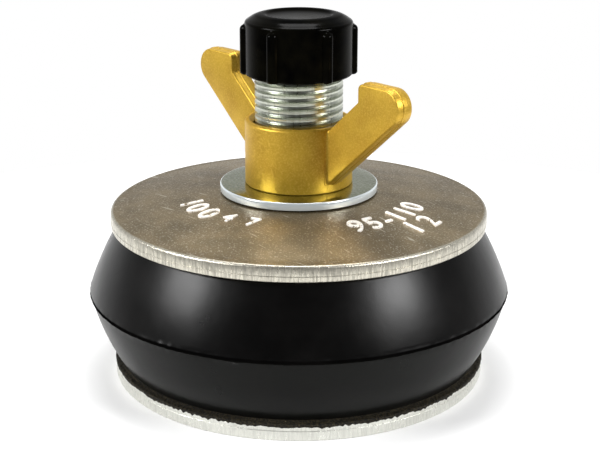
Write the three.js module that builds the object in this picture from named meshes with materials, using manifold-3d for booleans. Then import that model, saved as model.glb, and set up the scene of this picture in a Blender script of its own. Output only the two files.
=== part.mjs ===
// Expanding test plug for a 100 mm drain pipe.
// Two cast plates squeeze a rubber ring between them when the wing nut is screwed down the hollow stem, and the
// ring bulges out against the pipe. The stem is open right through, and a screw cap closes its upper end.
//
// Millimetres. +Z runs up the stem and +X along the wings of the nut. The origin is on the axis of the stem, on
// the floor that the bottom plate stands on.

import * as THREE from "three";
import { mergeVertices } from "three/addons/utils/BufferGeometryUtils.js";
import Module from "manifold-3d";

// Stem: a G 1/2 pipe thread, kept here as a plain cylinder at its crests
const stemRadius = 10.4775;
const stemWall = 2.7275;
const stemEndChamfer = 0.8;
const stemFootHeight = 0.3;
const threadClearance = 0.3;
const slideClearance = 0.5;

// Plates
const plateRadius = 45.15;
const plateEdge = 0.4;
const bottomRimHeight = 3.9;
const topRimHeight = 3.75;
const rimLand = 1.5;
const domeRise = 4;
const domeBulge = 0.3;
const hubSeatWidth = 4;
const holeChamfer = 0.5;

// Spigots: the raised middles of the plates that keep the rubber ring on the axis
const spigotWall = 8;
const spigotTaper = 1;
const topSpigotHeight = 4;
const spigotClearance = 0.6;

// Rubber ring
const ringHeight = 33.2;
const ringInset = 1.85;
const ringBelly = 7.5;
const ringSeamHeight = 17.1;
const lowerBulge = 1.13;
const upperBulge = 0.87;
const ringBoreChamfer = 0.8;

// Back nut in its pocket under the bottom plate, and the sealing washer above it
const backNutWall = 2.7;
const backNutHeight = 5.2;
const backNutFootHeight = 0.6;
const backNutFaceInset = 0.3;
const backNutChamferAngle = THREE.MathUtils.degToRad(30);
const pocketClearance = 0.35;
const pocketRoof = 4;
const stemSealThickness = 1.2;
const stemSealInset = 0.4;
const stemSealEdge = 0.1;

// Washer under the wing nut
const washerOverhang = 6.07;
const washerThickness = 1.85;
const washerEdge = 0.2;

// Wing nut
const nutWall = 2.03;
const nutHeight = 15.5;
const nutTopRounding = 0.7;
const nutFootChamfer = 0.3;
const nutCountersink = 1;
const wingRootHeight = 2.05;
const wingAngle = THREE.MathUtils.degToRad(42);
const wingSpan = 21.8;
const wingTipRadius = 4.3;
const wingHandWidth = 13.2;
const wingArmWidth = 9.9;
const wingCornerRadius = 1.4;
const wingThickness = 4.5;
const wingRidge = 1;
const wingDraft = 0.45;

// Screw cap and the sealing disc inside it
const bareThread = 10.6;
const capGrip = 10.4;
const capSealThickness = 1.4;
const capSealInset = 0.2;
const capWall = 1.8825;
const capRoof = 2.4;
const capShoulder = 1.8;
const capCrownRise = 0.3;
const capDishRadius = 8;
const capDishDepth = 0.8;
const capDishLip = 0.6;
const capMouthChamfer = 0.4;
const ribCount = 6;
const ribRadius = 1.3;
const ribHeight = 11.3;
const ribStandOut = 1.04;
const ribTurn = THREE.MathUtils.degToRad(-11);

// Facets round a full turn
const plateFacets = 72;
const stemFacets = 48;
const ribFacets = 12;
const arcSteps = 6;
const roundingSteps = 3;

// Radii that follow from the stem
const stemBoreRadius = stemRadius - stemWall;
const threadedHoleRadius = stemRadius + threadClearance;
const plateHoleRadius = stemRadius + slideClearance;
const nutRadius = threadedHoleRadius + nutWall;
const washerRadius = nutRadius + washerOverhang;
const hubSeatRadius = plateHoleRadius + hubSeatWidth;
const backNutHalfFlats = threadedHoleRadius + backNutWall;
const pocketHalfFlats = backNutHalfFlats + pocketClearance;
const spigotRadius = pocketHalfFlats / Math.cos(Math.PI / 6) + spigotWall;
const ringBoreRadius = spigotRadius + spigotClearance;
const ringEndRadius = plateRadius - ringInset;
const ringSeamRadius = ringEndRadius + ringBelly;
const capRadius = threadedHoleRadius + capWall;

// Heights above the floor, from the bottom plate up
const backNutTop = backNutFootHeight + backNutHeight;
const pocketTop = backNutTop + stemSealThickness;
const bottomSpigotTop = pocketTop + pocketRoof;
const ringBottom = bottomRimHeight;
const ringTop = ringBottom + ringHeight;
const topSpigotBottom = ringTop - topSpigotHeight;
const topRimTop = ringTop + topRimHeight;
const hubTop = topRimTop + domeRise;
const washerTop = hubTop + washerThickness;
const nutTop = washerTop + nutHeight;
const capBottom = nutTop + bareThread;
const stemTop = capBottom + capGrip;
const capCeiling = stemTop + capSealThickness;
const capTop = capCeiling + capRoof;

const wasm = await Module();
wasm.setup();

// A closed geometry as a solid that can be joined and cut.
function solidOf(geometry) {
  const bare = geometry.clone();
  bare.deleteAttribute("normal");
  bare.deleteAttribute("uv");
  const merged = mergeVertices(bare, 1e-4);
  const mesh = new wasm.Mesh({
    numProp: 3,
    vertProperties: merged.attributes.position.array,
    triVerts: new Uint32Array(merged.index.array),
  });
  return new wasm.Manifold(mesh);
}

// A joined or cut solid as a geometry again.
function geometryOf(solid) {
  const mesh = solid.getMesh();
  const geometry = new THREE.BufferGeometry();
  geometry.setAttribute("position", new THREE.BufferAttribute(mesh.vertProperties, 3));
  geometry.setIndex(new THREE.BufferAttribute(mesh.triVerts, 1));
  geometry.computeVertexNormals();
  return geometry;
}

// An outline of [radius, height] points turned about the Z axis. The outline runs anticlockwise, with radius to
// the right and height up. It ends on the axis, or is closed here.
function turned(outline, facets) {
  const points = outline.map(([radius, height]) => new THREE.Vector2(radius, height));
  const onAxis = points[0].x === 0 && points.at(-1).x === 0;
  if (!onAxis) points.push(points[0].clone());
  return new THREE.LatheGeometry(points, facets).rotateX(Math.PI / 2);
}

// A flat shape raised between two heights.
function raised(shape, bottom, top) {
  const geometry = new THREE.ExtrudeGeometry(shape, { depth: top - bottom, bevelEnabled: false });
  return geometry.translate(0, 0, bottom);
}

// Points of an arc about a centre, both ends included. Angles are in degrees.
function arc([x, y], radius, fromAngle, toAngle, steps = roundingSteps) {
  return Array.from({ length: steps + 1 }, (_, i) => {
    const angle = THREE.MathUtils.degToRad(fromAngle + ((toAngle - fromAngle) * i) / steps);
    return [x + radius * Math.cos(angle), y + radius * Math.sin(angle)];
  });
}

// Points of a shallow arc that stands out from its chord by bulge, to the right of the way along it. The first
// end is left out.
function bulgedLine([x0, y0], [x1, y1], bulge, steps = arcSteps) {
  const chord = Math.hypot(x1 - x0, y1 - y0);
  const radius = (chord ** 2 / 4 + bulge ** 2) / (2 * bulge);
  const [outX, outY] = [(y1 - y0) / chord, (x0 - x1) / chord];
  const [centreX, centreY] = [(x0 + x1) / 2 - outX * (radius - bulge), (y0 + y1) / 2 - outY * (radius - bulge)];
  const start = Math.atan2(y0 - centreY, x0 - centreX);
  const sweep = 2 * Math.asin(chord / 2 / radius);
  return Array.from({ length: steps }, (_, i) => {
    const angle = start + (sweep * (i + 1)) / steps;
    return [centreX + radius * Math.cos(angle), centreY + radius * Math.sin(angle)];
  });
}

// A regular hexagon with flats at the stated distance from its centre.
function hexagon(halfFlats) {
  const corner = halfFlats / Math.cos(Math.PI / 6);
  const points = Array.from({ length: 6 }, (_, i) => {
    const angle = (i * Math.PI) / 3;
    return new THREE.Vector2(corner * Math.cos(angle), corner * Math.sin(angle));
  });
  return new THREE.Shape(points);
}

// A flat ring with both outer corners taken off by edge.
function washer(boreRadius, radius, bottom, top, edge, facets) {
  const outline = [
    [boreRadius, bottom],
    [radius - edge, bottom],
    [radius, bottom + edge],
    [radius, top - edge],
    [radius - edge, top],
    [boreRadius, top],
  ];
  return turned(outline, facets);
}

// A plain rod for cutting holes, from the axis out.
function rod(radius, bottom, top, facets) {
  return turned([[0, bottom], [radius, bottom], [radius, top], [0, top]], facets);
}

function bottomPlate() {
  const outline = [
    [0, 0],
    [plateRadius - plateEdge, 0],
    [plateRadius, plateEdge],
    [plateRadius, ringBottom - plateEdge],
    [plateRadius - plateEdge, ringBottom],
    [spigotRadius, ringBottom],
    [spigotRadius - spigotTaper, bottomSpigotTop],
    [0, bottomSpigotTop],
  ];
  const pocket = raised(hexagon(pocketHalfFlats), -1, pocketTop);
  const hole = rod(threadedHoleRadius, -1, bottomSpigotTop + 1, stemFacets);
  return geometryOf(solidOf(turned(outline, plateFacets)).subtract(solidOf(pocket)).subtract(solidOf(hole)));
}

// The top of the plate rises as a shallow dome from a flat land at the rim to the seat of the washer.
function topPlate() {
  const rimInner = [plateRadius - rimLand, topRimTop];
  const outline = [
    [plateHoleRadius, topSpigotBottom],
    [spigotRadius - spigotTaper, topSpigotBottom],
    [spigotRadius, ringTop],
    [plateRadius - plateEdge, ringTop],
    [plateRadius, ringTop + plateEdge],
    [plateRadius, topRimTop - plateEdge],
    [plateRadius - plateEdge, topRimTop],
    rimInner,
    ...bulgedLine(rimInner, [hubSeatRadius, hubTop], domeBulge),
    [plateHoleRadius + holeChamfer, hubTop],
    [plateHoleRadius, hubTop - holeChamfer],
  ];
  return turned(outline, plateFacets);
}

// The outside is two shallow arcs that meet at the mould seam, where the ring is widest.
function rubberRing() {
  const seam = [ringSeamRadius, ringBottom + ringSeamHeight];
  const outline = [
    [ringBoreRadius + ringBoreChamfer, ringBottom],
    [ringEndRadius, ringBottom],
    ...bulgedLine([ringEndRadius, ringBottom], seam, lowerBulge),
    ...bulgedLine(seam, [ringEndRadius, ringTop], upperBulge),
    [ringBoreRadius + ringBoreChamfer, ringTop],
    [ringBoreRadius, ringTop - ringBoreChamfer],
    [ringBoreRadius, ringBottom + ringBoreChamfer],
  ];
  return turned(outline, plateFacets);
}

function stem() {
  const outline = [
    [stemBoreRadius, stemFootHeight],
    [stemRadius - stemEndChamfer, stemFootHeight],
    [stemRadius, stemFootHeight + stemEndChamfer],
    [stemRadius, stemTop - stemEndChamfer],
    [stemRadius - stemEndChamfer, stemTop],
    [stemBoreRadius, stemTop],
  ];
  return turned(outline, stemFacets);
}

// A hexagon nut whose corners are turned off on the side that faces the floor.
function backNut() {
  const faceRadius = backNutHalfFlats - backNutFaceInset;
  const coneRadius = backNutHalfFlats / Math.cos(Math.PI / 6) + 1;
  const coneRise = (coneRadius - faceRadius) * Math.tan(backNutChamferAngle);
  const blank = raised(hexagon(backNutHalfFlats), backNutFootHeight, backNutTop);
  const cone = [
    [0, backNutFootHeight],
    [faceRadius, backNutFootHeight],
    [coneRadius, backNutFootHeight + coneRise],
    [coneRadius, backNutTop + 1],
    [0, backNutTop + 1],
  ];
  const hole = rod(threadedHoleRadius, backNutFootHeight - 1, backNutTop + 1, stemFacets);
  return geometryOf(solidOf(blank).intersect(solidOf(turned(cone, plateFacets))).subtract(solidOf(hole)));
}

function stemSeal() {
  const radius = backNutHalfFlats - stemSealInset;
  return washer(threadedHoleRadius, radius, backNutTop, pocketTop, stemSealEdge, stemFacets);
}

function thrustWasher() {
  return washer(plateHoleRadius, washerRadius, hubTop, washerTop, washerEdge, plateFacets);
}

// One wing, seen along Y: an arm that slopes up out of the boss, then a hand with a round tip, a flat top and a
// straight inner edge. Its edges fall away to both sides of a narrow ridge.
function wing() {
  const slope = Math.tan(wingAngle);
  const lowerEdge = (x) => washerTop + wingRootHeight + slope * (x - nutRadius);
  const armRise = wingArmWidth / Math.cos(wingAngle);
  const rootX = threadedHoleRadius + nutWall / 2;
  const reach = nutRadius + wingSpan;
  const innerX = reach - wingHandWidth;
  const tipX = reach - wingTipRadius;
  const tipZ = lowerEdge(tipX) + wingTipRadius / Math.cos(wingAngle);
  const topZ = tipZ + wingTipRadius;
  const shape = new THREE.Shape();
  shape.moveTo(rootX, lowerEdge(rootX));
  shape.lineTo(tipX + wingTipRadius * Math.sin(wingAngle), tipZ - wingTipRadius * Math.cos(wingAngle));
  shape.absarc(tipX, tipZ, wingTipRadius, wingAngle - Math.PI / 2, Math.PI / 2, false);
  shape.absarc(innerX + wingCornerRadius, topZ - wingCornerRadius, wingCornerRadius, Math.PI / 2, Math.PI, false);
  shape.lineTo(innerX, lowerEdge(innerX) + armRise);
  shape.lineTo(rootX, lowerEdge(rootX) + armRise);
  shape.closePath();
  const sideThickness = (wingThickness - wingRidge) / 2;
  const geometry = new THREE.ExtrudeGeometry(shape, {
    depth: wingRidge,
    bevelThickness: sideThickness,
    bevelSize: wingDraft,
    bevelOffset: -wingDraft,
    bevelSegments: 1,
    curveSegments: arcSteps * 2,
  });
  return geometry.rotateX(Math.PI / 2).translate(0, wingRidge / 2, 0);
}

function wingNut() {
  const boss = [
    [0, washerTop],
    [nutRadius - nutFootChamfer, washerTop],
    [nutRadius, washerTop + nutFootChamfer],
    ...arc([nutRadius - nutTopRounding, nutTop - nutTopRounding], nutTopRounding, 0, 90),
    [0, nutTop],
  ];
  const mouth = [
    [0, washerTop - 1],
    [threadedHoleRadius, washerTop - 1],
    [threadedHoleRadius, nutTop - nutCountersink],
    [threadedHoleRadius + nutCountersink + 1, nutTop + 1],
    [0, nutTop + 1],
  ];
  const rightWing = solidOf(wing());
  const leftWing = solidOf(wing().rotateZ(Math.PI));
  const body = solidOf(turned(boss, stemFacets)).add(rightWing).add(leftWing);
  return geometryOf(body.subtract(solidOf(turned(mouth, stemFacets))));
}

// One upright rib of the cap, half sunk in its side, with a round top.
function capRib(index) {
  const top = capBottom + ribHeight - ribRadius;
  const outline = [[0, capBottom], [ribRadius, capBottom], ...arc([0, top], ribRadius, 0, 90)];
  outline.at(-1)[0] = 0;
  const angle = ribTurn + (index * 2 * Math.PI) / ribCount;
  const out = capRadius + ribStandOut - ribRadius;
  return turned(outline, ribFacets).translate(out * Math.cos(angle), out * Math.sin(angle), 0);
}

function cap() {
  const shoulderTop = capTop - capCrownRise;
  const crown = [capRadius - capShoulder, shoulderTop - capShoulder];
  const outline = [
    [0, capBottom],
    [capRadius - capMouthChamfer, capBottom],
    [capRadius, capBottom + capMouthChamfer],
    ...arc(crown, capShoulder, 0, 75, roundingSteps + 1),
    [capDishRadius + capDishLip, capTop],
    [capDishRadius, capTop - capDishLip / 4],
    [capDishRadius - capDishDepth, capTop - capDishDepth],
    [0, capTop - capDishDepth],
  ];
  const hollow = rod(threadedHoleRadius, capBottom - 1, capCeiling, stemFacets);
  let body = solidOf(turned(outline, stemFacets));
  for (let index = 0; index < ribCount; index += 1) body = body.add(solidOf(capRib(index)));
  return geometryOf(body.subtract(solidOf(hollow)));
}

function capSeal() {
  return rod(stemRadius - capSealInset, stemTop, capCeiling, stemFacets);
}

const castAluminium = { color: 0xa79a86, roughness: 0.42, metalness: 1 };
const brightAluminium = { color: 0xd2d4d6, roughness: 0.35, metalness: 1 };
const blackRubber = { color: 0x151515, roughness: 0.5, metalness: 0 };
const zincPlate = { color: 0xb9c2c4, roughness: 0.22, metalness: 1 };
const castBrass = { color: 0xc79a32, roughness: 0.45, metalness: 1 };
const blackPlastic = { color: 0x0c0c0a, roughness: 0.18, metalness: 0 };

const plug = new THREE.Group();

function addPiece(name, geometry, look) {
  const piece = new THREE.Mesh(geometry, new THREE.MeshStandardMaterial(look));
  piece.name = name;
  plug.add(piece);
}

addPiece("bottom_plate", bottomPlate(), brightAluminium);
addPiece("rubber_ring", rubberRing(), blackRubber);
addPiece("top_plate", topPlate(), castAluminium);
addPiece("stem", stem(), zincPlate);
addPiece("back_nut", backNut(), zincPlate);
addPiece("stem_seal", stemSeal(), blackRubber);
addPiece("thrust_washer", thrustWasher(), zincPlate);
addPiece("wing_nut", wingNut(), castBrass);
addPiece("cap", cap(), blackPlastic);
addPiece("cap_seal", capSeal(), blackRubber);

export default plug;
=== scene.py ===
# %% [markdown]
# # An expanding test plug for a drain pipe
# Two cast plates squeeze a rubber ring when a wing nut is screwed down a hollow threaded stem. The plug is
# almost entirely turned work, so most pieces here start as half of their outline and are spun about the stem.
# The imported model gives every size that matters; what is added here is the surface.

# %% Load the frame
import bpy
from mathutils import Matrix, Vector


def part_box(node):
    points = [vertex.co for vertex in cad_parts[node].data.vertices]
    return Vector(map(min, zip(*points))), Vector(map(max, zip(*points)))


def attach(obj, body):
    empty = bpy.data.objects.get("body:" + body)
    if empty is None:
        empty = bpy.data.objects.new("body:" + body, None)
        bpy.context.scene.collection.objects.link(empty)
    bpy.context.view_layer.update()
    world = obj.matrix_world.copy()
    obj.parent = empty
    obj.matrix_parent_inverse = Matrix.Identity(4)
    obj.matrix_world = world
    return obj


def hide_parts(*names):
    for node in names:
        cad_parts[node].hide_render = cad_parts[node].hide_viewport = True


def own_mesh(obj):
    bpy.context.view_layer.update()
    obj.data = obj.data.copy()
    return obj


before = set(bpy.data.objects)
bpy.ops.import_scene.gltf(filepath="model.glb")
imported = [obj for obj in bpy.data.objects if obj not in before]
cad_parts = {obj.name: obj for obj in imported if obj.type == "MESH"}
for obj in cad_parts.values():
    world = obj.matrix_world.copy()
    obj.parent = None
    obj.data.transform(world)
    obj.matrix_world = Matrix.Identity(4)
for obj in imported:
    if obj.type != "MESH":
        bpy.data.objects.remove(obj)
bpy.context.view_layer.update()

# %% Tools and units
import math

import bmesh
import bpy
from mathutils import Matrix, Vector, noise

MM = 0.001
NEAR = 0.002 * MM
FULL_TURN = 2 * math.pi

# %% [markdown]
# ## The camera
# The photograph was taken a little above the plug with a long lens. The wings of the nut lie along X, and the
# ellipses of the plates give the distance, the height and the focal length.

# %% Camera
CAMERA_AZIMUTH = math.radians(48.95)
CAMERA_ELEVATION = math.radians(18.01)
CAMERA_DISTANCE = 345 * MM
FOCAL_LENGTH = 85.29
AXIS_SHIFT = 0.002
look_at = Vector((0, 0, 35.43 * MM))
towards_camera = Vector((
    math.sin(CAMERA_AZIMUTH) * math.cos(CAMERA_ELEVATION),
    -math.cos(CAMERA_AZIMUTH) * math.cos(CAMERA_ELEVATION),
    math.sin(CAMERA_ELEVATION),
))
camera = bpy.data.objects.new("camera", bpy.data.cameras.new("camera"))
camera.data.lens = FOCAL_LENGTH
camera.data.shift_x = AXIS_SHIFT
camera.location = look_at + towards_camera * CAMERA_DISTANCE
camera.rotation_euler = (-towards_camera).to_track_quat("-Z", "Y").to_euler()
bpy.context.scene.collection.objects.link(camera)
bpy.context.scene.camera = camera
print("camera at", tuple(round(value, 4) for value in camera.location))

# %% [markdown]
# ## Building materials from nodes
# A finish is a small tree of nodes. These helpers make a node and wire or set its sockets by name, so that each
# finish below reads as a short recipe. Everything is measured in metres on Object coordinates.

# %% Helpers for materials
def add_node(tree, kind, settings=(), **inputs):
    """Adds a node, sets its properties, and wires or sets its inputs by name."""
    made = tree.nodes.new(kind)
    for key, value in dict(settings).items():
        setattr(made, key, value)
    for key, value in inputs.items():
        socket = made.inputs[key.replace("_", " ")]
        if isinstance(value, bpy.types.NodeSocket):
            tree.links.new(value, socket)
        else:
            socket.default_value = value
    return made


def place_on(tree, stretch=(1, 1, 1)):
    """Object coordinates, stretched along the axes."""
    place = add_node(tree, "ShaderNodeTexCoord").outputs["Object"]
    return add_node(tree, "ShaderNodeMapping", Vector=place, Scale=stretch).outputs[0]


def speckle(tree, size, stretch=(1, 1, 1), detail=3.0, roughness=0.55):
    """Noise whose blotches are about size across, in metres."""
    place = place_on(tree, stretch)
    made = add_node(tree, "ShaderNodeTexNoise", Vector=place, Scale=1 / size, Detail=detail, Roughness=roughness)
    return made.outputs[0]


def band(tree, value, low, high, to_low=0.0, to_high=1.0):
    """Maps a value from the range low to high onto another range, and stops at its ends."""
    inputs = {"Value": value, "From_Min": low, "From_Max": high, "To_Min": to_low, "To_Max": to_high}
    return add_node(tree, "ShaderNodeMapRange", **inputs).outputs[0]


def blend_colours(tree, share, first, second):
    """Mixes two colours, either of which may be a socket."""
    made = tree.nodes.new("ShaderNodeMix")
    made.data_type = "RGBA"
    for socket, value in ((made.inputs[0], share), (made.inputs[6], first), (made.inputs[7], second)):
        if isinstance(value, bpy.types.NodeSocket):
            tree.links.new(value, socket)
        else:
            socket.default_value = value if isinstance(value, float) else (*value, 1)
    return made.outputs[2]


def combine(tree, operation, first, second):
    """One arithmetic step between two values."""
    made = add_node(tree, "ShaderNodeMath", {"operation": operation})
    for socket, value in zip(made.inputs, (first, second)):
        if isinstance(value, bpy.types.NodeSocket):
            tree.links.new(value, socket)
        else:
            socket.default_value = value
    return made.outputs[0]


def relief(tree, height, depth, after=None):
    """A bump of the given depth in metres. Bumps can be chained."""
    inputs = {"Height": height, "Distance": depth, "Strength": 1.0}
    if after is not None:
        inputs["Normal"] = after
    return add_node(tree, "ShaderNodeBump", **inputs).outputs[0]


# %% Helpers for finishes
def new_finish(name, **constants):
    """A material with one Principled shader, and its constant values set on the sockets themselves."""
    material = bpy.data.materials.new(name)
    material.use_nodes = True
    shader = material.node_tree.nodes["Principled BSDF"]
    for key, value in constants.items():
        socket = shader.inputs[key.replace("_", " ")]
        socket.default_value = (*value, 1) if isinstance(value, tuple) else value
    return material, material.node_tree, shader


def wire(tree, shader, **outputs):
    """Wires the results of a recipe to the shader's sockets."""
    for key, output in outputs.items():
        tree.links.new(output, shader.inputs[key.replace("_", " ")])


def distance_from_axis(tree):
    """How far a point is from the axis of the stem, in metres."""
    flat = place_on(tree, (1, 1, 0))
    return add_node(tree, "ShaderNodeVectorMath", {"operation": "LENGTH"}, Vector=flat).outputs["Value"]


def height_above_floor(tree):
    """How high a point of the piece is at rest, in metres."""
    place = add_node(tree, "ShaderNodeTexCoord").outputs["Object"]
    return add_node(tree, "ShaderNodeSeparateXYZ", Vector=place).outputs["Z"]

# %% [markdown]
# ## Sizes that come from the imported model
# Each turned piece takes its radii and heights from the box of its own solid, so it sits where the solid sits.

# %% Sizes
def extent(node):
    """The largest radius of a turned solid and its lowest and highest points."""
    low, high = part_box(node)
    return high.x, low.z, high.z


plate_radius, _, _ = extent("bottom_plate")
ring_radius, ring_bottom, ring_top = extent("rubber_ring")
_, _, hub_top = extent("top_plate")
washer_radius, _, washer_top = extent("thrust_washer")
stem_radius, stem_foot, stem_top = extent("stem")
wing_reach, nut_bottom, wing_top = extent("wing_nut")
_, cap_bottom, cap_top = extent("cap")
_, _, seal_top = extent("cap_seal")
print("plates", plate_radius, "ring", ring_radius, "stem", stem_radius, "height", cap_top)

# %% [markdown]
# ## Turning a piece
# A lathe cuts one outline all round, and `bmesh.ops.spin` does the same to a chain of edges. The outline is
# drawn sharp, and the circular edges that a tool or a mould would round are bevelled afterwards, each with its
# own radius. Normals are recalculated, because a spin can come out inside out.

# %% Helpers for turned pieces
SPIN_STEPS = 256


def draw_outline(points, closed):
    """A bmesh that holds one chain of edges through (radius, height) points."""
    chain = bmesh.new()
    corners = [chain.verts.new((radius, 0, height)) for radius, height in points]
    ends = corners[1:] + corners[:1] if closed else corners[1:]
    for start, end in zip(corners, ends):
        chain.edges.new((start, end))
    return chain


def turn(points, closed=False, steps=SPIN_STEPS):
    """Spins an outline a full turn about the stem. It ends on the axis unless it is closed."""
    turned = draw_outline(points, closed)
    everything = turned.verts[:] + turned.edges[:]
    bmesh.ops.spin(turned, geom=everything, cent=(0, 0, 0), axis=(0, 0, 1), angle=FULL_TURN, steps=steps,
                   use_merge=True)
    bmesh.ops.remove_doubles(turned, verts=turned.verts, dist=NEAR / 2)
    bmesh.ops.recalc_face_normals(turned, faces=turned.faces)
    return turned


def round_circles(turned, circles, segments=3):
    """Rounds the circular edges at the given (radius, height, rounding) places."""
    for radius, height, rounding in circles:
        edges = [edge for edge in turned.edges
                 if all(abs(corner.co.z - height) < NEAR and abs(corner.co.xy.length - radius) < NEAR
                        for corner in edge.verts)]
        bmesh.ops.bevel(turned, geom=edges, offset=rounding, segments=segments, affect="EDGES", profile=0.5,
                        material=-1)


def swell(start, end, bulge, steps):
    """Points of a shallow arc from start to end that stands out from the chord by bulge at its middle."""
    start, end = Vector(start), Vector(end)
    outward = Vector((end.y - start.y, start.x - end.x)).normalized()
    shares = [step / steps for step in range(1, steps)]
    return [tuple(start.lerp(end, share) + outward * bulge * 4 * share * (1 - share)) for share in shares]


def arc_points(centre, radius, start, end, steps):
    """Points of an arc, with both ends. Angles are in degrees."""
    angles = [math.radians(start + (end - start) * step / steps) for step in range(steps + 1)]
    return [(centre[0] + radius * math.cos(angle), centre[1] + radius * math.sin(angle)) for angle in angles]


def finish_piece(name, shape, body, node, finish, sharp_angle=32):
    """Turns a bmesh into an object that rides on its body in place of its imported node."""
    mesh = bpy.data.meshes.new(name)
    shape.to_mesh(mesh)
    shape.free()
    mesh.shade_smooth()
    mesh.set_sharp_from_angle(angle=math.radians(sharp_angle))
    mesh.materials.append(finish)
    piece = bpy.data.objects.new(name, mesh)
    bpy.context.scene.collection.objects.link(piece)
    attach(piece, body)
    if node:
        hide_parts(node)
    print(name, len(mesh.polygons), "faces")
    return piece

# %% [markdown]
# Some pieces are joined or cut with another shape. Both shapes become objects for a moment, the first one gets
# a boolean modifier, and the result is read back from it.

# %% Helper for joining and cutting
def cut_or_join(base, tool, operation):
    """Joins one bmesh to another or cuts it with one, by the exact boolean, and returns the result."""
    carriers = []
    for shape in (base, tool):
        mesh = bpy.data.meshes.new("carrier")
        bmesh.ops.recalc_face_normals(shape, faces=shape.faces)
        shape.to_mesh(mesh)
        shape.free()
        carrier = bpy.data.objects.new("carrier", mesh)
        bpy.context.scene.collection.objects.link(carrier)
        carriers.append(carrier)
    modifier = carriers[0].modifiers.new("boolean", "BOOLEAN")
    modifier.operation = operation
    modifier.solver = "EXACT"
    modifier.object = carriers[1]
    bpy.context.view_layer.update()
    evaluated = carriers[0].evaluated_get(bpy.context.evaluated_depsgraph_get())
    result = bmesh.new()
    result.from_mesh(evaluated.to_mesh())
    for carrier in carriers:
        mesh = carrier.data
        bpy.data.objects.remove(carrier)
        bpy.data.meshes.remove(mesh)
    return result

# %% [markdown]
# ## Cast aluminium
# The plates are castings. Their faces keep a brownish satin skin full of tiny bright grains, with a few long
# scratches. Their rims have been dressed on a belt, which leaves bare silver metal with fine upright marks.
# One recipe makes both: the distance from the axis says where the skin ends and the dressed rim begins.

# %% Cast aluminium
def cast_aluminium(name, skin, bare, rim_start, rim_end, mark_shade):
    """Satin cast skin inside rim_start, belt-dressed bare metal outside rim_end, with marks of mark_shade."""
    material, tree, shader = new_finish(name, Metallic=0.8)
    out = distance_from_axis(tree)
    rim = band(tree, out, rim_start, rim_end)
    grains = speckle(tree, 0.42 * MM, detail=2.0)
    clouds = speckle(tree, 9 * MM, detail=4.0)
    marks = speckle(tree, 0.5 * MM, stretch=(1, 1, 0.12), detail=3.0, roughness=0.7)
    scratches = speckle(tree, 0.9 * MM, stretch=(0.05, 1, 1), detail=1.0)
    dark_skin = tuple(channel * 0.72 for channel in skin)
    light_skin = tuple(min(1.0, channel * 1.12) for channel in skin)
    mottled = blend_colours(tree, band(tree, clouds, 0.35, 0.65), dark_skin, light_skin)
    sparkled = blend_colours(tree, band(tree, grains, 0.58, 0.68, 0.0, 0.5), mottled, bare)
    scored = blend_colours(tree, band(tree, scratches, 0.71, 0.74, 0.0, 0.5), sparkled, bare)
    dull_metal = tuple(channel * mark_shade for channel in bare)
    dressed = blend_colours(tree, band(tree, marks, 0.38, 0.58), dull_metal, bare)
    skin_roughness = band(tree, grains, 0.3, 0.7, 0.5, 0.32)
    rim_roughness = band(tree, marks, 0.3, 0.7, 0.42, 0.22)
    roughness = combine(tree, "ADD", combine(tree, "MULTIPLY", skin_roughness, combine(tree, "SUBTRACT", 1.0, rim)),
                        combine(tree, "MULTIPLY", rim_roughness, rim))
    skin_height = combine(tree, "MULTIPLY", grains, combine(tree, "SUBTRACT", 1.0, rim))
    rough_rim = combine(tree, "MULTIPLY", marks, rim)
    bumps = relief(tree, skin_height, 0.09 * MM)
    bumps = relief(tree, rough_rim, 0.12 * MM, after=bumps)
    wire(tree, shader, Base_Color=blend_colours(tree, rim, scored, dressed), Roughness=roughness, Normal=bumps)
    return material


CAST_SKIN = (0.20, 0.155, 0.088)
BARE_METAL = (0.60, 0.57, 0.48)
BRIGHT_METAL = (0.76, 0.76, 0.70)
RIM_LAND = 1.5 * MM
top_plate_finish = cast_aluminium("cast_plate", CAST_SKIN, BARE_METAL, plate_radius - 0.8 * MM,
                                  plate_radius - 0.3 * MM, mark_shade=0.6)
bottom_plate_finish = cast_aluminium("bright_plate", BRIGHT_METAL, BRIGHT_METAL, plate_radius - 1.2 * MM,
                                     plate_radius - 0.6 * MM, mark_shade=0.86)

# %% [markdown]
# ## The plates
# Both plates have a spigot inside the ring. The top plate rises in a shallow dome to the seat of the washer,
# inside a narrow flat land at its rim. Where the two halves of the mould met, the rim has a fine step.

# %% Plates
RIM_ROUNDING = 0.7 * MM
EDGE_ROUNDING = 0.35 * MM
SEAM_STEP = 0.09 * MM
TOP_SEAM_SHARE = 0.36
BOTTOM_SEAM_SHARE = 0.6
SPIGOT_TAPER = 1 * MM
POCKET_CLEARANCE = 0.35 * MM
WASHER_SEAT_WIDTH = 4 * MM
SLIDE_CLEARANCE = 0.5 * MM
THREAD_CLEARANCE = 0.3 * MM
TOP_SPIGOT_HEIGHT = 4 * MM
SPIGOT_WALL = 8 * MM
DOME_BULGE = 0.3 * MM
DOME_RISE = 4 * MM
OVERSHOOT = 1 * MM

_, back_nut_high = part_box("back_nut")
pocket_radius = back_nut_high.x + POCKET_CLEARANCE / math.cos(math.radians(30))
spigot_radius = pocket_radius + SPIGOT_WALL
rim_top = hub_top - DOME_RISE
plate_hole = stem_radius + SLIDE_CLEARANCE
seat_radius = plate_hole + WASHER_SEAT_WIDTH
land_inner = (plate_radius - RIM_LAND, rim_top)


def rim_side(low, high, seam_share):
    """The side of a rim, from the bottom up, with the step that the mould leaves."""
    seam = low + (high - low) * seam_share
    return [
        (plate_radius, low),
        (plate_radius, seam - SEAM_STEP),
        (plate_radius - SEAM_STEP, seam),
        (plate_radius - SEAM_STEP / 3, seam + SEAM_STEP),
        (plate_radius, high),
    ]


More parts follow.
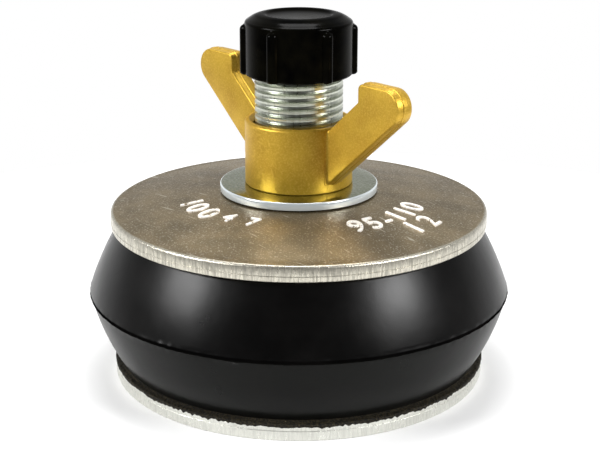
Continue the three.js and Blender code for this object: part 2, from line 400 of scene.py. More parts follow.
top_outline = [
    (plate_hole, ring_top - TOP_SPIGOT_HEIGHT),
    (spigot_radius - SPIGOT_TAPER, ring_top - TOP_SPIGOT_HEIGHT),
    (spigot_radius, ring_top),
    *rim_side(ring_top, rim_top, TOP_SEAM_SHARE),
    land_inner,
    *swell(land_inner, (seat_radius, hub_top), DOME_BULGE, 14),
    (seat_radius, hub_top),
    (plate_hole, hub_top),
]
top_plate = turn(top_outline, closed=True)
round_circles(top_plate, [
    (plate_radius, rim_top, RIM_ROUNDING),
    (plate_radius, ring_top, EDGE_ROUNDING),
    (plate_hole, hub_top, EDGE_ROUNDING),
])
finish_piece("plate_above", top_plate, "clamp", "top_plate", top_plate_finish)

# %% [markdown]
# The bottom plate is turned as a full disc. A hexagon for the back nut and a round hole for the stem are then
# cut out of it, each with the clearance that its thread or its flats need.

# %% Bottom plate
_, _, spigot_top = extent("bottom_plate")
_, _, pocket_top = extent("stem_seal")
bottom_outline = [
    (0, 0),
    *rim_side(0, ring_bottom, BOTTOM_SEAM_SHARE),
    (spigot_radius, ring_bottom),
    (spigot_radius - SPIGOT_TAPER, spigot_top),
    (0, spigot_top),
]


def hexagon_prism(corner_radius, low, high):
    """A six-sided prism about the stem, with a corner on X."""
    prism = bmesh.new()
    bmesh.ops.create_cone(prism, cap_ends=True, segments=6, radius1=corner_radius, radius2=corner_radius,
                          depth=high - low, matrix=Matrix.Translation((0, 0, (low + high) / 2)))
    widest = max(abs(corner.co.x) for corner in prism.verts)
    if widest < corner_radius - NEAR:
        bmesh.ops.rotate(prism, verts=prism.verts, cent=(0, 0, 0), matrix=Matrix.Rotation(math.radians(30), 3, "Z"))
    return prism


bottom_plate = turn(bottom_outline)
round_circles(bottom_plate, [
    (plate_radius, 0, EDGE_ROUNDING),
    (plate_radius, ring_bottom, EDGE_ROUNDING),
])
pocket = hexagon_prism(pocket_radius, -OVERSHOOT, pocket_top)
bottom_plate = cut_or_join(bottom_plate, pocket, "DIFFERENCE")
threaded_hole = stem_radius + THREAD_CLEARANCE
hole = turn([
    (0, -OVERSHOOT),
    (threaded_hole, -OVERSHOOT),
    (threaded_hole, spigot_top + OVERSHOOT),
    (0, spigot_top + OVERSHOOT),
], steps=96)
bottom_plate = cut_or_join(bottom_plate, hole, "DIFFERENCE")
finish_piece("plate_below", bottom_plate, "base", "bottom_plate", bottom_plate_finish)

# %% [markdown]
# ## The rubber ring
# Moulded rubber is matt black with a soft sheen. The halves of its mould met at the widest line, where a thin
# lip of flash was trimmed by hand, so it wanders a little. At the foot, a rough skirt of flash spreads over the
# edge of the bottom plate.

# %% Rubber
def rubber_finish(name, seam):
    """Matt black rubber. Below the seam its black is painted a little paler, as a reflection of the floor, and it
    is duller; the trimmed seam has no sheen.
    """
    material, tree, shader = new_finish(name, Metallic=0.0)
    clouds = speckle(tree, 14 * MM, detail=4.0)
    dust = speckle(tree, 1.1 * MM, detail=2.0, roughness=0.7)
    skin = speckle(tree, 0.25 * MM, detail=2.0)
    height = height_above_floor(tree)
    lower = band(tree, height, seam, seam - 0.4 * MM)
    # Painted reflection: below the seam the black is paler and slightly green, standing for the floor that the
    # lower half reflects.
    black = blend_colours(tree, lower, (0.0015, 0.0014, 0.0014), (0.0040, 0.0042, 0.0036))
    cloudy = blend_colours(tree, band(tree, clouds, 0.45, 0.75, 0.0, 0.35), black, (0.008, 0.0072, 0.0068))
    dusty = blend_colours(tree, band(tree, dust, 0.80, 0.84, 0.0, 0.5), cloudy, (0.16, 0.15, 0.13))
    roughness = band(tree, clouds, 0.3, 0.7, 0.27, 0.34)
    off_seam = combine(tree, "ABSOLUTE", combine(tree, "SUBTRACT", height, seam), 0.0)
    trimmed = band(tree, off_seam, 0.35 * MM, 0.6 * MM)
    sheen = combine(tree, "MULTIPLY", trimmed, band(tree, lower, 0.0, 1.0, 0.17, 0.09))
    bumps = relief(tree, skin, 0.012 * MM)
    bumps = relief(tree, clouds, 0.10 * MM, after=bumps)
    wire(tree, shader, Base_Color=dusty, Roughness=roughness, Normal=bumps, Specular_IOR_Level=sheen)
    return material


def torn_rubber(name):
    """Granular torn rubber, with pale brownish specks painted into its colour as glints."""
    material, tree, shader = new_finish(name, Specular_IOR_Level=0.2, Roughness=0.62)
    grains = speckle(tree, 0.3 * MM, detail=2.0)
    glints = speckle(tree, 0.5 * MM, detail=2.0, roughness=0.7)
    black = blend_colours(tree, band(tree, grains, 0.45, 0.62), (0.0015, 0.0015, 0.0012), (0.035, 0.028, 0.014))
    # Painted highlight: sparse pale brownish specks stand for glints on the torn film.
    painted_glints = band(tree, glints, 0.74, 0.78)
    wire(tree, shader, Base_Color=blend_colours(tree, painted_glints, black, (0.45, 0.40, 0.28)),
         Normal=relief(tree, grains, 0.25 * MM))
    return material


torn_finish = torn_rubber("torn_rubber")
RING_END_INSET = 1.85 * MM
SEAM_HEIGHT = 17.1 * MM
LOWER_BULGE = 0.8 * MM
UPPER_BULGE = 0.5 * MM
LIP_OVERHANG = 0.32 * MM
LIP_DEPTH = 0.5 * MM
RING_ROUNDING = 0.3 * MM
BORE_CLEARANCE = 0.6 * MM
end_radius = plate_radius - RING_END_INSET
bore_radius = spigot_radius + BORE_CLEARANCE
seam_height = ring_bottom + SEAM_HEIGHT
foot = (end_radius, ring_bottom)
below_lip = (ring_radius - LIP_OVERHANG, seam_height - LIP_DEPTH)
above_lip = (ring_radius - LIP_OVERHANG * 0.5, seam_height + LIP_DEPTH * 1.4)
ring_outline = [
    (bore_radius, ring_bottom),
    foot,
    *swell(foot, below_lip, LOWER_BULGE, 22),
    below_lip,
    (ring_radius - LIP_OVERHANG * 0.7, seam_height - LIP_DEPTH * 0.95),
    (ring_radius - LIP_OVERHANG * 0.15, seam_height - LIP_DEPTH * 0.7),
    (ring_radius, seam_height - LIP_DEPTH * 0.3),
    (ring_radius - LIP_OVERHANG * 0.05, seam_height + LIP_DEPTH * 0.2),
    (ring_radius - LIP_OVERHANG * 0.3, seam_height + LIP_DEPTH * 0.8),
    above_lip,
    *swell(above_lip, (end_radius, ring_top), UPPER_BULGE, 22),
    (end_radius, ring_top),
    (bore_radius, ring_top),
]
ring = turn(ring_outline, closed=True, steps=720)
round_circles(ring, [(bore_radius, ring_bottom, RING_ROUNDING), (bore_radius, ring_top, RING_ROUNDING)])


def ragged(place, grain):
    """Repeatable noise between about -1 and 1 at a place, with blotches about grain across."""
    return noise.noise(place / grain) * 2


for corner in ring.verts:
    off_seam = abs(corner.co.z - seam_height)
    if off_seam < LIP_DEPTH * 1.2 and corner.co.xy.length > ring_radius - LIP_OVERHANG * 1.1:
        outward = Vector((corner.co.x, corner.co.y, 0)).normalized()
        place = outward * ring_radius
        wander = ragged(place, 11 * MM) * 0.07 + ragged(place, 1.6 * MM) * 0.06
        corner.co += outward * wander * MM
        drop = ragged(place, 6 * MM) * 0.10 + ragged(place, 1.2 * MM) * 0.07
        corner.co.z += drop * MM
ring_finish = rubber_finish("ring_rubber", seam_height)
ring_piece = finish_piece("pressure_ring", ring, "base", "rubber_ring", ring_finish, sharp_angle=50)


def flatten_with_clamp(piece):
    """Gives the piece a mesh of its own."""
    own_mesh(piece)


flatten_with_clamp(ring_piece)

# %% [markdown]
# The skirt of flash is a thin torn film of rubber that crept over the edge of the plate. It is turned as a thin
# band that follows the edge, and noise then makes its skin granular and tears its lower hem.

# %% Skirt of flash
FILM = 0.1 * MM
HEM_DROP = 0.62 * MM
skirt_inner = end_radius - 0.5 * MM
skirt_outline = [
    (skirt_inner, ring_bottom - 0.3 * MM),
    (plate_radius - 0.3 * MM, ring_bottom - HEM_DROP),
    (plate_radius + FILM / 2, ring_bottom - HEM_DROP),
    (plate_radius + FILM, ring_bottom - HEM_DROP * 0.75),
    (plate_radius + FILM, ring_bottom - HEM_DROP * 0.5),
    (plate_radius + FILM, ring_bottom - HEM_DROP * 0.25),
    (plate_radius + FILM * 0.5, ring_bottom),
    (plate_radius - 0.15 * MM, ring_bottom + 0.14 * MM),
    (plate_radius - 0.4 * MM, ring_bottom + 0.2 * MM),
    (plate_radius - 0.65 * MM, ring_bottom + 0.26 * MM),
    (plate_radius - 0.9 * MM, ring_bottom + 0.32 * MM),
    (plate_radius - 1.15 * MM, ring_bottom + 0.42 * MM),
    (plate_radius - 1.4 * MM, ring_bottom + 0.6 * MM),
    (skirt_inner, ring_bottom + 0.7 * MM),
]
skirt = turn(skirt_outline, closed=True, steps=1100)
for corner in skirt.verts:
    radius = corner.co.xy.length
    if radius < plate_radius - 1.3 * MM:
        continue
    outward = Vector((corner.co.x, corner.co.y, 0)).normalized()
    grain = ragged(corner.co, 0.55 * MM) * 0.09 + ragged(corner.co, 0.28 * MM) * 0.05
    if corner.co.z < ring_bottom + 0.05 * MM:
        hem = (ring_bottom - corner.co.z) / HEM_DROP
        corner.co.z += hem * (ragged(outward * plate_radius, 4 * MM) * 0.16
                              + ragged(outward * plate_radius, 0.8 * MM) * 0.22) * MM
        corner.co += outward * max(-FILM * 0.6, grain * MM * 0.7)
    else:
        corner.co.z += grain * MM
skirt_piece = finish_piece("ring_flash", skirt, "base", None, torn_finish, sharp_angle=70)
flatten_with_clamp(skirt_piece)

# %% [markdown]
# ## Zinc plate
# The stem and the washer are steel with a bright zinc coat, which is slightly blue and has faint streaks.

# %% Zinc
def zinc_finish(name, colour, streak_stretch, roughness_range, painted_edge_start):
    """Bright zinc of a colour. Further from the axis than painted_edge_start, a pale bluish painted reflection of
    the floor is laid into the colour, with less metal.
    """
    material, tree, shader = new_finish(name)
    streaks = speckle(tree, 0.6 * MM, stretch=streak_stretch, detail=3.0)
    clouds = speckle(tree, 6 * MM, detail=3.0)
    dark = tuple(channel * 0.74 for channel in colour)
    tone = blend_colours(tree, band(tree, clouds, 0.3, 0.7), dark, colour)
    fine = blend_colours(tree, band(tree, streaks, 0.35, 0.7, 0.0, 0.3), tone, (0.80, 0.83, 0.80))
    # Painted reflection: the outer edge is painted pale and bluish and made less metallic, standing for the white
    # floor that the rounded edge of the washer reflects.
    edge = band(tree, distance_from_axis(tree), painted_edge_start, painted_edge_start + 0.15 * MM)
    zinc_and_painted_edge = blend_colours(tree, edge, fine, (0.80, 0.87, 0.90))
    low, high = roughness_range
    wire(tree, shader, Base_Color=zinc_and_painted_edge, Metallic=band(tree, edge, 0.0, 1.0, 1.0, 0.55),
         Roughness=band(tree, streaks, 0.3, 0.7, low, high), Normal=relief(tree, streaks, 0.006 * MM))
    return material


# The darker olive zinc of the washer is partly a painted reflection of the golden nut, and its edge is painted pale
# as a reflection of the floor.
washer_finish = zinc_finish("zinc_washer", (0.28, 0.31, 0.19), (1, 1, 1), (0.14, 0.22),
                            painted_edge_start=washer_radius - 0.35 * MM)
stem_finish = zinc_finish("zinc_stem", (0.56, 0.59, 0.49), (1, 1, 0.08), (0.26, 0.36), painted_edge_start=washer_radius)

# %% [markdown]
# ## The washer
# A stamped washer has one edge rolled over by the punch and the other nearly sharp.

# %% Washer
washer = turn([
    (plate_hole, hub_top),
    (washer_radius, hub_top),
    (washer_radius, washer_top),
    (plate_hole, washer_top),
], closed=True)
round_circles(washer, [
    (washer_radius, washer_top, 0.35 * MM),
    (washer_radius, hub_top, 0.15 * MM),
    (plate_hole, washer_top, 0.2 * MM),
])
finish_piece("washer", washer, "clamp", "thrust_washer", washer_finish)

# %% [markdown]
# ## The threaded stem
# `bmesh.ops.spin` can climb as it turns: with a step along Z it sweeps a column of thread teeth into a helix.
# After one full turn the column has climbed one pitch and meets its own start, so the doubles merge into one
# continuous thread. The ends are then cut flat, chamfered, and closed round the bore.

# %% Stem
PITCH = 1.814 * MM
THREAD_DEPTH = 0.5 * MM
CREST_DIP = 0.13 * MM
CREST_SHARE = 0.3
TOOTH_POINTS = 16
STEM_STEPS = 96
STEM_WALL = 2.7275 * MM
END_CHAMFER = 0.9 * MM


def tooth(share):
    """How deep the thread is at a share of its pitch: a hollow crest between two ridges, and a rounded root."""
    off_crest = min(share % 1, 1 - share % 1)
    if off_crest < CREST_SHARE:
        return CREST_DIP * (1 - (off_crest / CREST_SHARE) ** 2)
    down = (off_crest - CREST_SHARE) / (0.5 - CREST_SHARE)
    return THREAD_DEPTH * (0.75 * down + 0.25 * math.sin(down * math.pi / 2) ** 2)


def thread_column(radius, low, high):
    """The outline of the thread, from one pitch below low to one pitch above high."""
    count = math.ceil((high - low) / PITCH) + 2
    points = [(radius - tooth(index / TOOTH_POINTS), low - PITCH + index * PITCH / TOOTH_POINTS)
              for index in range(count * TOOTH_POINTS + 1)]
    return draw_outline(points, closed=False)


def flat_end(shape, height, keep_above):
    """Cuts the thread flat and returns the loop of edges at the cut."""
    bmesh.ops.bisect_plane(shape, geom=shape.verts[:] + shape.edges[:] + shape.faces[:], dist=NEAR / 4,
                           plane_co=(0, 0, height), plane_no=(0, 0, 1), clear_inner=keep_above,
                           clear_outer=not keep_above)
    return [edge for edge in shape.edges if edge.is_boundary
            and all(abs(corner.co.z - height) < NEAR for corner in edge.verts)]


def bore_circle(shape, radius, height, steps):
    """Adds a circle of edges at one end of the bore and returns its edges."""
    made = bmesh.ops.create_circle(shape, cap_ends=False, segments=steps, radius=radius,
                                   matrix=Matrix.Translation((0, 0, height)))
    return list({edge for corner in made["verts"] for edge in corner.link_edges})


stem = thread_column(stem_radius, stem_foot, stem_top)
bmesh.ops.spin(stem, geom=stem.verts[:] + stem.edges[:], cent=(0, 0, 0), axis=(0, 0, 1), angle=FULL_TURN,
               steps=STEM_STEPS, dvec=(0, 0, PITCH / STEM_STEPS), use_merge=False)
bmesh.ops.remove_doubles(stem, verts=stem.verts, dist=NEAR)
for corner in stem.verts:
    nearest_end = min(stem_top - corner.co.z, corner.co.z - stem_foot)
    limit = stem_radius - END_CHAMFER + max(0.0, nearest_end)
    radius = corner.co.xy.length
    if radius > limit:
        corner.co.xy *= limit / radius
bore_loops = []
for height, keep_above in ((stem_foot, True), (stem_top, False)):
    outer = flat_end(stem, height, keep_above)
    inner = bore_circle(stem, stem_radius - STEM_WALL, height, STEM_STEPS)
    bmesh.ops.bridge_loops(stem, edges=outer + inner)
    bore_loops += inner
bmesh.ops.bridge_loops(stem, edges=bore_loops)
bmesh.ops.recalc_face_normals(stem, faces=stem.faces)
open_edges = sum(1 for edge in stem.edges if not edge.is_manifold)
print("open edges on the stem:", open_edges)
finish_piece("threaded_stem", stem, "base", "stem", stem_finish, sharp_angle=60)

# %% [markdown]
# ## The wing nut
# The nut is cast, with a fine grain under a golden finish. Each wing is drawn as a flat outline. Its edge is
# raised in steps: a narrow ridge where the mould parted, then a slope inwards to each face. The wings flare
# where they meet the boss, which is the fillet of the casting, and are then joined to it.

# %% Golden casting
def golden_finish(name):
    """A golden coat on a fine cast grain, a little deeper in some places than in others."""
    material, tree, shader = new_finish(name, Metallic=0.65)
    grain = speckle(tree, 0.45 * MM, detail=4.0, roughness=0.65)
    clouds = speckle(tree, 7 * MM, detail=3.0)
    deep = (0.50, 0.29, 0.022)
    bright = (0.64, 0.40, 0.038)
    tone = blend_colours(tree, band(tree, clouds, 0.3, 0.7), deep, bright)
    fine = blend_colours(tree, band(tree, grain, 0.45, 0.7, 0.0, 0.5), tone, (0.85, 0.58, 0.11))
    wire(tree, shader, Base_Color=fine, Roughness=band(tree, grain, 0.3, 0.7, 0.34, 0.5),
         Normal=relief(tree, grain, 0.035 * MM))
    return material


# %% Wing nut
NUT_WALL = 2.03 * MM
NUT_HEIGHT = 15.5 * MM
WING_ANGLE = math.radians(40.7)
TIP_RADIUS = 4.53 * MM
HAND_WIDTH = 13.3 * MM
ARM_WIDTH = 10.3 * MM
CORNER_RADIUS = 1.6 * MM
HALF_RIDGE = 0.6 * MM
RIDGE_STEP = 0.14 * MM
HALF_WING = 2.2 * MM
WING_DRAFT = 0.16 * MM
WING_EDGE = 0.35 * MM
ROOT_FLARE = 0.7 * MM
WING_EXTRA_REACH = 0.9 * MM
WING_EXTRA_HEIGHT = 0.05 * MM
COUNTERSINK = 1 * MM

nut_radius = threaded_hole + NUT_WALL
nut_top = nut_bottom + NUT_HEIGHT
slope = math.tan(WING_ANGLE)
tip_x = wing_reach + WING_EXTRA_REACH - TIP_RADIUS
tip_z = wing_top + WING_EXTRA_HEIGHT - TIP_RADIUS
inner_x = tip_x + TIP_RADIUS - HAND_WIDTH


def lower_edge(x):
    """Height of the sloping lower edge of a wing."""
    return tip_z - TIP_RADIUS / math.cos(WING_ANGLE) + slope * (x - tip_x)


def wing_outline():
    """The wing seen along Y, from the root along the lower edge and round the tip."""
    arm_rise = ARM_WIDTH / math.cos(WING_ANGLE)
    root = threaded_hole + NUT_WALL / 2
    lower_angle = math.degrees(WING_ANGLE) - 90
    corner_centre = (inner_x + CORNER_RADIUS, tip_z + TIP_RADIUS - CORNER_RADIUS)
    return [
        (root, lower_edge(root)),
        *arc_points((tip_x, tip_z), TIP_RADIUS, lower_angle, 90, 20),
        *arc_points(corner_centre, CORNER_RADIUS, 90, 180, 8),
        (inner_x, lower_edge(inner_x) + arm_rise),
        (root, lower_edge(root) + arm_rise),
    ]


def flare(x):
    """How much thicker a wing is near the boss, on each side."""
    distance = x - (nut_radius - 0.2 * MM)
    if distance >= ROOT_FLARE:
        return 0.0
    distance = max(0.0, distance)
    return ROOT_FLARE - math.sqrt(ROOT_FLARE ** 2 - (ROOT_FLARE - distance) ** 2)


def make_wing():
    """One wing along +X, with ridge, sloped edges, rounded faces and flared root."""
    wing = bmesh.new()
    corners = [wing.verts.new((x, HALF_RIDGE, z)) for x, z in wing_outline()]
    far_face = wing.faces.new(corners)
    grown = bmesh.ops.extrude_face_region(wing, geom=[far_face])
    near_face = next(item for item in grown["geom"] if isinstance(item, bmesh.types.BMFace))
    bmesh.ops.translate(wing, verts=list(near_face.verts), vec=(0, -2 * HALF_RIDGE, 0))
    bmesh.ops.recalc_face_normals(wing, faces=wing.faces)
    sides = [face for face in wing.faces if len(face.verts) > 4]
    for face in sides:
        bmesh.ops.inset_region(wing, faces=[face], thickness=RIDGE_STEP, depth=RIDGE_STEP * 0.6,
                               use_even_offset=True)
        bmesh.ops.inset_region(wing, faces=[face], thickness=WING_DRAFT, depth=HALF_WING - HALF_RIDGE,
                               use_even_offset=True)
    rims = {edge for face in sides for edge in face.edges}
    bmesh.ops.bevel(wing, geom=list(rims), offset=WING_EDGE, segments=3, affect="EDGES", profile=0.5, material=-1)
    for step in range(8):
        x = nut_radius - 0.2 * MM + ROOT_FLARE * (step / 7) ** 1.5
        bmesh.ops.bisect_plane(wing, geom=wing.verts[:] + wing.edges[:] + wing.faces[:], dist=NEAR,
                               plane_co=(x, 0, 0), plane_no=(1, 0, 0))
    for corner in wing.verts:
        corner.co.y += math.copysign(flare(corner.co.x), corner.co.y)
    return wing


nut = turn([(0, nut_bottom), (nut_radius, nut_bottom), (nut_radius, nut_top), (0, nut_top)], steps=160)
round_circles(nut, [(nut_radius, nut_bottom, 0.3 * MM)])
round_circles(nut, [(nut_radius, nut_top, 0.75 * MM)], segments=5)
for turn_angle in (0, math.pi):
    wing = make_wing()
    bmesh.ops.rotate(wing, verts=wing.verts, cent=(0, 0, 0), matrix=Matrix.Rotation(turn_angle, 3, "Z"))
    nut = cut_or_join(nut, wing, "UNION")
mouth = turn([
    (0, nut_bottom - OVERSHOOT),
    (threaded_hole, nut_bottom - OVERSHOOT),
    (threaded_hole, nut_top - COUNTERSINK),
    (threaded_hole + COUNTERSINK + OVERSHOOT, nut_top + OVERSHOOT),
    (0, nut_top + OVERSHOOT),
], steps=160)
nut = cut_or_join(nut, mouth, "DIFFERENCE")
bmesh.ops.remove_doubles(nut, verts=nut.verts, dist=NEAR)
finish_piece("winged_nut", nut, "wing_nut", "wing_nut", golden_finish("cast_brass"), sharp_angle=38)

# %% [markdown]
# ## The cap
# A moulded cap in glossy black plastic, with six grip ribs. The cap is turned, and the ribs are raised out of
# its side afterwards by moving the points outwards, which also gives them soft feet as in a mould.

# %% Plastic
def plastic_finish(name):
    """Glossy black plastic with faint warm clouds, less glossy on the crown."""
    material, tree, shader = new_finish(name, Metallic=0.0)
    on_top = band(tree, height_above_floor(tree), cap_top - 0.9 * MM, cap_top - 0.3 * MM)
    clouds = speckle(tree, 5 * MM, detail=3.0)
    skin = speckle(tree, 0.5 * MM, detail=3.0)
    tone = blend_colours(tree, band(tree, clouds, 0.35, 0.7), (0.0008, 0.0008, 0.0008), (0.0030, 0.0027, 0.0016))
    wire(tree, shader, Base_Color=tone, Roughness=band(tree, clouds, 0.3, 0.7, 0.13, 0.22),
         Specular_IOR_Level=band(tree, on_top, 0.0, 1.0, 0.03, 0.004),
         Normal=relief(tree, skin, 0.004 * MM))
    return material


# %% Cap
RIB_COUNT = 6
RIB_TURN = math.radians(-10)
RIB_RADIUS = 1.3 * MM
RIB_STAND_OUT = 1.1 * MM
RIB_HEIGHT = 11.75 * MM
CAP_WALL = 1.8825 * MM
CAP_SHOULDER = 0.9 * MM
CROWN_RISE = 1.35 * MM
CROWN_BULGE = 0.35 * MM
DISH_RADIUS = 7.7 * MM
DISH_DEPTH = 0.8 * MM
CAP_CHAMFER = 0.35 * MM
CAP_STEPS = 480
SIDE_ROWS = 40
cap_radius = threaded_hole + CAP_WALL
shoulder_centre = (cap_radius - CAP_SHOULDER, cap_top - CROWN_RISE - CAP_SHOULDER)
shoulder = arc_points(shoulder_centre, CAP_SHOULDER, 0, 66, 8)
dish_edge = (DISH_RADIUS + 0.6 * MM, cap_top)
rib_top = cap_bottom + RIB_HEIGHT
side_low, side_high = cap_bottom + CAP_CHAMFER, shoulder_centre[1]
side_heights = [side_low + (side_high - side_low) * step / SIDE_ROWS for step in range(SIDE_ROWS)]
cap_outline = [
    (threaded_hole, seal_top),
    (threaded_hole, cap_bottom),
    (cap_radius - CAP_CHAMFER, cap_bottom),
    *((cap_radius, height) for height in side_heights),
    *shoulder,
    *swell(shoulder[-1], dish_edge, CROWN_BULGE, 12),
    dish_edge,
    (DISH_RADIUS + 0.2 * MM, cap_top - 0.03 * MM),
    (DISH_RADIUS - 0.2 * MM, cap_top - 0.18 * MM),
    (DISH_RADIUS - 0.7 * MM, cap_top - 0.42 * MM),
    (DISH_RADIUS - 1.5 * MM, cap_top - 0.62 * MM),
    (DISH_RADIUS / 2, cap_top - DISH_DEPTH * 0.95),
    (0, cap_top - DISH_DEPTH),
]
cap = turn([(0, seal_top), *cap_outline], steps=CAP_STEPS)


def rib_stand_out(angle, height):
    """How far a rib stands out of the side of the cap at an angle and a height."""
    spacing = FULL_TURN / RIB_COUNT
    offset = (angle - RIB_TURN + spacing / 2) % spacing - spacing / 2
    across = abs(offset) * cap_radius
    end = max(0.0, height - (rib_top - RIB_RADIUS))
    distance = math.hypot(across, end)
    if distance >= RIB_RADIUS * 1.25:
        return 0.0
    dome = math.sqrt(max(0.0, RIB_RADIUS ** 2 - distance ** 2)) - (RIB_RADIUS - RIB_STAND_OUT)
    foot_ease = 0.10 * MM * (1 - distance / (RIB_RADIUS * 1.25))
    return max(dome, foot_ease)


for corner in cap.verts:
    radius = corner.co.xy.length
    if radius > cap_radius - 0.4 * MM and corner.co.z < rib_top + 0.5 * MM:
        grown = radius + rib_stand_out(math.atan2(corner.co.y, corner.co.x), corner.co.z)
        corner.co.xy *= grown / radius
finish_piece("screw_cap", cap, "cap", "cap", plastic_finish("cap_plastic"), sharp_angle=40)

# %% [markdown]
# ## Hidden pieces
# The sealing washer under the bottom plate and the disc in the cap are cut from rubber sheet, so their edges are
# a little rounded. The back nut keeps its imported solid and gets the zinc finish of the washer.

# %% Seals
def sheet_seal(name, node, body, hole, finish):
    """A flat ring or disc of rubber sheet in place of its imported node."""
    radius, low, high = extent(node)
    outline = [(hole, low), (radius, low), (radius, high), (hole, high)]
    shape = turn(outline, closed=hole > 0, steps=128)
    round_circles(shape, [(radius, low, 0.12 * MM), (radius, high, 0.12 * MM)])
    finish_piece(name, shape, body, node, finish)


seal_finish = rubber_finish("seal_rubber", seam_height)
sheet_seal("sealing_washer", "stem_seal", "base", threaded_hole, seal_finish)
sheet_seal("sealing_disc", "cap_seal", "cap_seal", 0, seal_finish)


# %% Back nut
def dress_node(node, finish):
    """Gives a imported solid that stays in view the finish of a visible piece."""
    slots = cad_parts[node].data.materials
    slots.clear()
    slots.append(finish)


dress_node("back_nut", washer_finish)

# %% [markdown]
# ## Raised numbers
# The casting carries raised marks on its dome. Here they are plain numbers for the size. Each digit is a text
# shape made into a mesh, laid on the dome and turned to its place on the circle.

# %% Raised numbers
DIGIT_HEIGHT = 5.6 * MM
DIGIT_RISE = 0.3 * MM
DIGIT_ROUNDING = 0.1 * MM
DIGIT_THINNING = 0.09 * MM
DIGIT_SHARE_OF_FONT = 0.7
SMALL_DIGIT = 0.7
# Each line has its characters, the angle of each in degrees, the radius of their feet, and their scale.
LINES = (
    ("100", (-112, -103, -92), 29.3 * MM, 1),
    ("47", (-79, -65), 27.6 * MM, SMALL_DIGIT),
    ("95-110", (-14, -5, 3, 10, 18, 27), 31.2 * MM, 1),
    ("12", (7, 17), 37.6 * MM, 1),
)


def dome_height(radius):
    """Height of the dome at a distance from the axis."""
    share = (land_inner[0] - radius) / (land_inner[0] - seat_radius)
    share = min(1.0, max(0.0, share))
    return rim_top + DOME_RISE * share + DOME_BULGE * 4 * share * (1 - share)


def worn_finish(name):
    """The cast skin, worn down to bright metal on most of what stands up from it."""
    material, tree, shader = new_finish(name, Metallic=0.3)
    wear = speckle(tree, 1.6 * MM, detail=3.0)
    grains = speckle(tree, 0.4 * MM, detail=2.0)
    worn = combine(tree, "MULTIPLY", band(tree, wear, 0.31, 0.40), band(tree, grains, 0.26, 0.42))
    wire(tree, shader, Base_Color=blend_colours(tree, worn, CAST_SKIN, (0.94, 0.90, 0.84)),
         Roughness=band(tree, grains, 0.3, 0.7, 0.5, 0.35), Normal=relief(tree, grains, 0.06 * MM))
    return material


def raised_digit(numbers, character, foot_radius, angle, height):
    """Adds one character to the mesh of numbers, with its foot at a radius and its top towards the stem."""
    curve = bpy.data.curves.new("digit", "FONT")
    curve.body = character
    curve.align_x = "CENTER"
    curve.size = height / DIGIT_SHARE_OF_FONT
    curve.extrude = DIGIT_RISE
    curve.bevel_depth = DIGIT_ROUNDING
    curve.bevel_resolution = 2
    curve.offset = -DIGIT_THINNING
    letter = bpy.data.objects.new("digit", curve)
    bpy.context.scene.collection.objects.link(letter)
    bpy.context.view_layer.update()
    mesh = bpy.data.meshes.new_from_object(letter.evaluated_get(bpy.context.evaluated_depsgraph_get()))
    bpy.data.objects.remove(letter)
    shape = bmesh.new()
    shape.from_mesh(mesh)
    bpy.data.meshes.remove(mesh)
    bmesh.ops.remove_doubles(shape, verts=shape.verts, dist=NEAR)
    for corner in shape.verts:
        across, up, out = corner.co
        radius = foot_radius - up
        corner.co = Vector((radius, across, dome_height(radius) + out))
    bmesh.ops.rotate(shape, verts=shape.verts, cent=(0, 0, 0), matrix=Matrix.Rotation(angle, 3, "Z"))
    merged = bpy.data.meshes.new("digit")
    shape.to_mesh(merged)
    shape.free()
    numbers.from_mesh(merged)
    bpy.data.meshes.remove(merged)


numbers = bmesh.new()
for characters, angles, foot_radius, scale in LINES:
    for character, degrees in zip(characters, angles):
        raised_digit(numbers, character, foot_radius, math.radians(degrees), DIGIT_HEIGHT * scale)
finish_piece("raised_numbers", numbers, "clamp", None, worn_finish("worn_numbers"))

# %% [markdown]
# ## Floor, backdrop and light
# A product on white. The floor is a round white table that glows a little for what sees it, so that it looks
# white and keeps the shadow of the plug.

# %% Floor
TABLE_RADIUS = 200 * MM
PAPER = (0.72, 0.72, 0.72)
PAPER_GLOW = 0.2


def floor_finish():
    """White paper that glows a little in the camera and in reflections."""
    material = bpy.data.materials.new("floor")
    material.use_nodes = True
    tree = material.node_tree
    tree.nodes.clear()
    rays = add_node(tree, "ShaderNodeLightPath")
    seen = combine(tree, "ADD", rays.outputs["Is Camera Ray"], rays.outputs["Is Glossy Ray"])
    seen = combine(tree, "ADD", seen, rays.outputs["Is Transmission Ray"])
    paper = add_node(tree, "ShaderNodeBsdfDiffuse", Color=(*PAPER, 1))
    glow = add_node(tree, "ShaderNodeEmission", Color=(1, 1, 1, 1), Strength=combine(tree, "MULTIPLY", seen, PAPER_GLOW))
    both = add_node(tree, "ShaderNodeAddShader")
    tree.links.new(paper.outputs[0], both.inputs[0])
    tree.links.new(glow.outputs[0], both.inputs[1])
    end = add_node(tree, "ShaderNodeOutputMaterial")
    tree.links.new(both.outputs[0], end.inputs["Surface"])
    return material


floor_shape = bmesh.new()
bmesh.ops.create_circle(floor_shape, cap_ends=True, segments=128, radius=TABLE_RADIUS)
floor_mesh = bpy.data.meshes.new("floor")
floor_shape.to_mesh(floor_mesh)
floor_shape.free()
floor_mesh.materials.append(floor_finish())
floor = bpy.data.objects.new("floor", floor_mesh)
bpy.context.scene.collection.objects.link(floor)

# %% [markdown]
# The camera sees a white backdrop. Reflections see a bright band low behind the plug and a room that gets
# darker towards the camera, so that the black rubber keeps its depth. Everything else gets an even dim light.

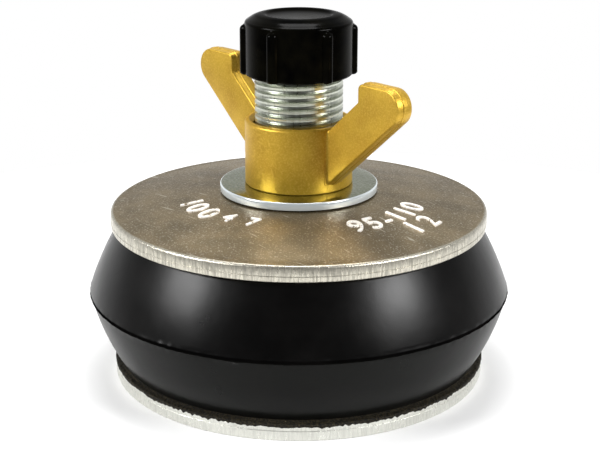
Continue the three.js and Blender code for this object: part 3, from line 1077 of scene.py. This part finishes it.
# %% World
AMBIENT = 0.42
ROOM_BEHIND_CAMERA = 0.015
ROOM_BEHIND_PLUG = 0.55
world = bpy.data.worlds.new("studio")
bpy.context.scene.world = world
world.use_nodes = True
sky = world.node_tree
sky.nodes.clear()
rays = add_node(sky, "ShaderNodeLightPath")
direction = add_node(sky, "ShaderNodeTexCoord").outputs["Generated"]
away = Vector((-math.sin(CAMERA_AZIMUTH), math.cos(CAMERA_AZIMUTH), 0))
behind = add_node(sky, "ShaderNodeVectorMath", {"operation": "DOT_PRODUCT"}, Vector=direction)
behind.inputs[1].default_value = away
elevation = add_node(sky, "ShaderNodeSeparateXYZ", Vector=direction).outputs["Z"]
backdrop = combine(sky, "MULTIPLY", band(sky, behind.outputs["Value"], 0.0, 0.6), band(sky, elevation, 0.2, 0.05))
room = band(sky, behind.outputs["Value"], -0.1, 0.8, ROOM_BEHIND_CAMERA, ROOM_BEHIND_PLUG)
reflected = combine(sky, "MAXIMUM", backdrop, room)
glossy = combine(sky, "ADD", rays.outputs["Is Glossy Ray"], rays.outputs["Is Transmission Ray"])
added = combine(sky, "MULTIPLY", glossy, combine(sky, "SUBTRACT", reflected, AMBIENT))
level = combine(sky, "ADD", added, AMBIENT)
level = combine(sky, "MAXIMUM", level, rays.outputs["Is Camera Ray"])
light = add_node(sky, "ShaderNodeBackground", Color=(1, 1, 1, 1), Strength=level)
end = add_node(sky, "ShaderNodeOutputWorld")
sky.links.new(light.outputs[0], end.inputs["Surface"])

# %% [markdown]
# Two soft boxes at the sides draw the long highlights on the rubber. A third one hangs nearly overhead, just
# behind the stem, and lights the face of the top plate.

# %% Soft boxes
def soft_box(name, azimuth, elevation, distance, width, height, power):
    """A rectangular lamp that faces the plug. Azimuth is measured from the camera, positive to its right."""
    turn_by = CAMERA_AZIMUTH + math.radians(azimuth)
    rise = math.radians(elevation)
    outward = Vector((math.sin(turn_by) * math.cos(rise), -math.cos(turn_by) * math.cos(rise), math.sin(rise)))
    lamp = bpy.data.lights.new(name, "AREA")
    lamp.shape = "RECTANGLE"
    lamp.size = width
    lamp.size_y = height
    lamp.energy = power
    box = bpy.data.objects.new(name, lamp)
    box.location = look_at + outward * distance
    box.rotation_euler = (-outward).to_track_quat("-Z", "Y").to_euler()
    bpy.context.scene.collection.objects.link(box)


# name, azimuth, elevation, distance, width, height, power
for settings in (
    ("left_box", -70, 27, 0.7, 0.26, 0.18, 4.4),
    ("right_box", 60, 27, 0.7, 0.26, 0.18, 4.2),
    ("top_box", 180, 74, 0.8, 0.4, 0.3, 4.6),
):
    soft_box(*settings)

# %% [markdown]
# ## Finish
# The last cell sets the plain view transform.

# %% View settings
bpy.context.scene.view_settings.view_transform = "Standard"
